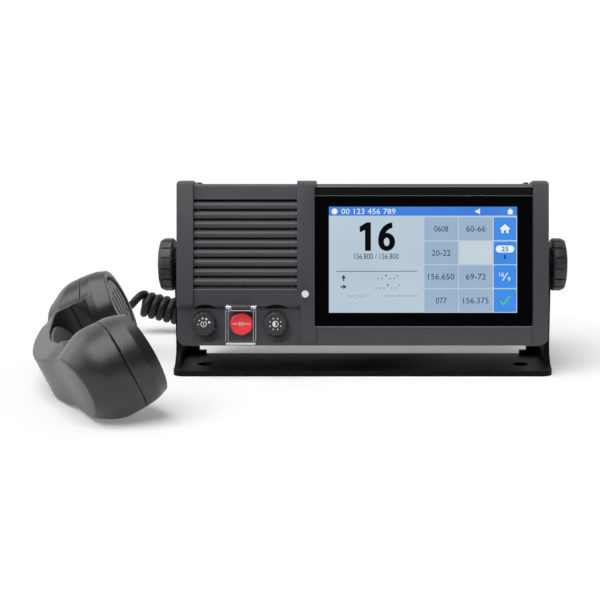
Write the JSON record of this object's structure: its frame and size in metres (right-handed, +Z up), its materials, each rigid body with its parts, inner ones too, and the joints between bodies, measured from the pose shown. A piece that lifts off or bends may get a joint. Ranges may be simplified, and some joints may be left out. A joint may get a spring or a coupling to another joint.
{
  "type": "vhf marine radio",
  "caption": "Marine VHF control unit with louvred loudspeaker, touch screen and flip cover over a red button, tilting in a U bracket, with corded handset.",
  "frame": {"origin": "on the bottom face of the bracket's base plate, straight below the tilt axis, midway between the arms", "axes": "+Z up, +X to the unit's right as its user sees it, -Y towards the user"},
  "size_m": [0.3488, 0.2915, 0.1268],
  "materials": {
    "bracket_plastic": "semi-gloss moulded",
    "case_plastic": "fine textured moulding",
    "handset_plastic": "satin moulding",
    "knob_plastic": "satin moulding",
    "cord_sheath": "satin polyurethane",
    "seal_rubber": "matt",
    "red_plastic": "satin",
    "clear_cover": "clear polycarbonate",
    "cover_glass": "polished",
    "display_panel": "backlit panel",
    "cast_case": "powder coated casting",
    "plated_steel": "nickel plated",
    "screw_steel": "stainless",
    "brass_parts": "turned",
    "circuit_board": "solder mask",
    "switch_plastic": "moulded",
    "paper_cone": "pressed paper",
    "acoustic_cloth": "woven",
    "ferrite": "ground"
  },
  "bodies": {
    "bracket": {"mounting_bracket": "bracket_plastic", "handset_lead": "cord_sheath", "curly_cord": "cord_sheath"},
    "control_unit": {"front_bezel": "case_plastic", "speaker_grille": "case_plastic", "speaker_cloth": "acoustic_cloth", "speaker_basket": "plated_steel", "speaker_cone": "paper_cone", "speaker_magnet": "ferrite", "screen_glass": "cover_glass", "screen_gasket": "seal_rubber", "display_module": "display_panel", "rear_housing": "cast_case", "housing_seal": "seal_rubber", "case_screws": "screw_steel", "main_board": "circuit_board", "main_board_screws": "screw_steel", "control_board": "circuit_board", "control_board_screws": "screw_steel", "volume_encoder": "switch_plastic", "dimmer_encoder": "switch_plastic", "distress_switch": "switch_plastic", "cover_hinge_pin": "screw_steel", "power_socket": "plated_steel", "handset_socket": "plated_steel", "ground_stud": "brass_parts", "handset_plug": "knob_plastic", "pivot_inserts": "brass_parts", "left_friction_washer": "seal_rubber", "right_friction_washer": "seal_rubber", "unit_lead": "cord_sheath"},
    "left_clamp": {"left_clamp_knob": "knob_plastic", "left_clamp_stud": "screw_steel"},
    "right_clamp": {"right_clamp_knob": "knob_plastic", "right_clamp_stud": "screw_steel"},
    "volume_push": {"volume_shaft": "plated_steel"},
    "volume": {"volume_knob": "knob_plastic"},
    "dimmer_push": {"dimmer_shaft": "plated_steel"},
    "dimmer": {"dimmer_knob": "knob_plastic"},
    "distress": {"distress_button": "red_plastic"},
    "cover": {"distress_cover": "clear_cover"},
    "handset": {"handset_back_shell": "handset_plastic", "mouthpiece_cap": "handset_plastic", "earpiece_cap": "handset_plastic", "paddle_pin": "screw_steel", "talk_switch": "switch_plastic", "handset_board": "circuit_board", "handset_board_screws": "screw_steel", "earpiece_capsule": "switch_plastic", "microphone": "switch_plastic", "cord_gland": "cord_sheath"},
    "paddle": {"talk_paddle": "handset_plastic"}
  },
  "joints": [
    {"name": "tilt", "type": "hinge", "parent": "bracket", "child": "control_unit", "pos_m": [0, 0, 0.069], "axis": [-1, 0, 0], "range_deg": [-25, 15]},
    {"name": "left_clamp_turn", "type": "hinge", "parent": "control_unit", "child": "left_clamp", "pos_m": [-0.125, 0, 0.069], "axis": [-1, 0, 0], "continuous": true},
    {"name": "right_clamp_turn", "type": "hinge", "parent": "control_unit", "child": "right_clamp", "pos_m": [0.125, 0, 0.069], "axis": [1, 0, 0], "continuous": true},
    {"name": "volume_press", "type": "slide", "parent": "control_unit", "child": "volume_push", "axis": [0, 0.9848, -0.1736], "range_m": [0, 0.0009], "stiffness_N_per_m": 900, "springref_m": -0.001},
    {"name": "volume_turn", "type": "hinge", "parent": "volume_push", "child": "volume", "pos_m": [-0.102, -0.03932, 0.03603], "axis": [0, -0.9848, 0.1736], "continuous": true},
    {"name": "dimmer_press", "type": "slide", "parent": "control_unit", "child": "dimmer_push", "axis": [0, 0.9848, -0.1736], "range_m": [0, 0.0009], "stiffness_N_per_m": 900, "springref_m": -0.001},
    {"name": "dimmer_turn", "type": "hinge", "parent": "dimmer_push", "child": "dimmer", "pos_m": [-0.056, -0.03932, 0.03603], "axis": [0, -0.9848, 0.1736], "continuous": true},
    {"name": "distress_press", "type": "slide", "parent": "control_unit", "child": "distress", "axis": [0, 0.9848, -0.1736], "range_m": [0, 0.002], "stiffness_N_per_m": 900, "springref_m": -0.001},
    {"name": "cover_open", "type": "hinge", "parent": "control_unit", "child": "cover", "pos_m": [-0.0782, -0.04002, 0.04702], "axis": [-1, 0, 0], "range_deg": [0, 110], "stiffness_Nm_per_rad": 0.004, "springref_deg": -17.19},
    {"name": "handset_lift", "type": "slide", "parent": "bracket", "child": "handset", "axis": [0, 0, 1], "range_m": [0, 0.15]},
    {"name": "talk_press", "type": "hinge", "parent": "handset", "child": "paddle", "pos_m": [-0.18263, -0.10268, 0.01664], "axis": [-0.4095, -0.1044, 0.9063], "range_deg": [0, 1.5], "stiffness_Nm_per_rad": 0.5, "springref_deg": -2.86}
  ]
}
